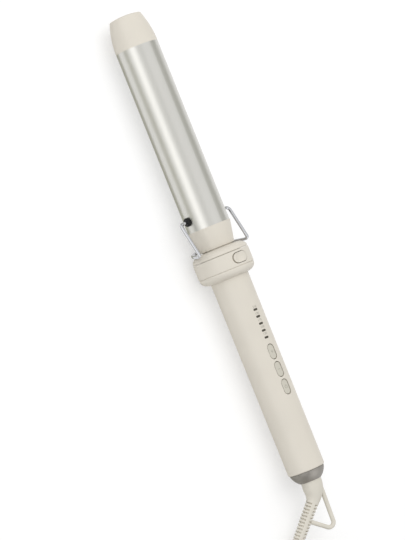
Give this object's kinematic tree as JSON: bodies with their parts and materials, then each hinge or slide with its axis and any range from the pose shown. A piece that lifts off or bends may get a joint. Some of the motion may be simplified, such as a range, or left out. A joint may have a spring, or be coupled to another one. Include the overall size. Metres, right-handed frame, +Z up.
{
  "type": "hair styler",
  "caption": "Hair styler with a round heated barrel, folding wire rest, quick-release collar, slim handle with keys and lights, and a swivelling cord boot with a hanging loop.",
  "frame": {"origin": "middle of the styler's length without its cord, on the surface that the collar's ring rests on", "axes": "+X along the axis from the tip to the cord, +Z up through the keys, +Y across the handle"},
  "size_m": [0.524, 0.0919, 0.0424],
  "materials": {
    "cream_plastic": "satin",
    "barrel_metal": "brushed",
    "shell_metal": "cast",
    "ceramic": "glazed",
    "black_plastic": "moulded",
    "chrome_wire": "polished",
    "screw_steel": "plated",
    "contact_brass": "bare",
    "lens": "smoked",
    "diode": "clear",
    "board": "lacquered",
    "cap_grey": "satin",
    "spindle_plastic": "moulded",
    "cord_sheath": "matte",
    "plug_plastic": "moulded",
    "plug_metal": "nickel"
  },
  "bodies": {
    "handle": {"handle_tube": "cream_plastic", "lock_ring": "cream_plastic", "handle_neck": "cream_plastic", "socket_contacts": "contact_brass", "release_springs": "screw_steel", "indicator_lens": "lens", "indicator_diodes": "diode", "chassis": "black_plastic", "control_board": "board", "board_screws": "screw_steel", "tact_switches": "black_plastic", "tail_cap": "cap_grey", "swivel_bush": "black_plastic", "swivel_brushes": "contact_brass"},
    "head": {"cool_tip": "cream_plastic", "barrel_tube": "barrel_metal", "heater_shell_upper": "shell_metal", "heater_shell_lower": "shell_metal", "ptc_heater": "ceramic", "heat_sensor": "ceramic", "thermal_fuse": "ceramic", "barrel_cone": "cream_plastic", "head_collar": "cream_plastic", "head_screws": "screw_steel", "connector_block": "black_plastic", "connector_pins": "contact_brass", "stand_bushes": "black_plastic"},
    "stand": {"stand_wire": "chrome_wire"},
    "plus_button": {"plus_button": "cream_plastic"},
    "minus_button": {"minus_button": "cream_plastic"},
    "power_button": {"power_button": "cream_plastic"},
    "release_button": {"release_button": "cream_plastic"},
    "swivel": {"swivel_spindle": "spindle_plastic", "slip_rings": "contact_brass", "cord_boot": "cord_sheath", "cord_lead": "cord_sheath", "cord_coil": "cord_sheath", "cord_tail": "cord_sheath", "coil_ties": "cord_sheath", "plug_body": "plug_plastic", "plug_pins": "plug_metal"}
  },
  "joints": [
    {"name": "head_slide", "type": "slide", "parent": "handle", "child": "head", "axis": [-1, 0, 0], "range_m": [0, 0.06]},
    {"name": "stand_hinge", "type": "hinge", "parent": "head", "child": "stand", "pos_m": [-0.025, 0, 0.0212], "axis": [0, 1, 0], "range_deg": [0, 80]},
    {"name": "plus_button_press", "type": "slide", "parent": "handle", "child": "plus_button", "axis": [0, 0, -1], "range_m": [0, 0.0006], "stiffness_N_per_m": 500},
    {"name": "minus_button_press", "type": "slide", "parent": "handle", "child": "minus_button", "axis": [0, 0, -1], "range_m": [0, 0.0006], "stiffness_N_per_m": 500},
    {"name": "power_button_press", "type": "slide", "parent": "handle", "child": "power_button", "axis": [0, 0, -1], "range_m": [0, 0.0006], "stiffness_N_per_m": 500},
    {"name": "release_press", "type": "slide", "parent": "handle", "child": "release_button", "axis": [0, 0, -1], "range_m": [0, 0.001], "stiffness_N_per_m": 800, "deforming": ["release_springs"]},
    {"name": "cord_swivel", "type": "hinge", "parent": "handle", "child": "swivel", "pos_m": [0.1757, 0, 0.0212], "axis": [1, 0, 0], "continuous": true}
  ]
}
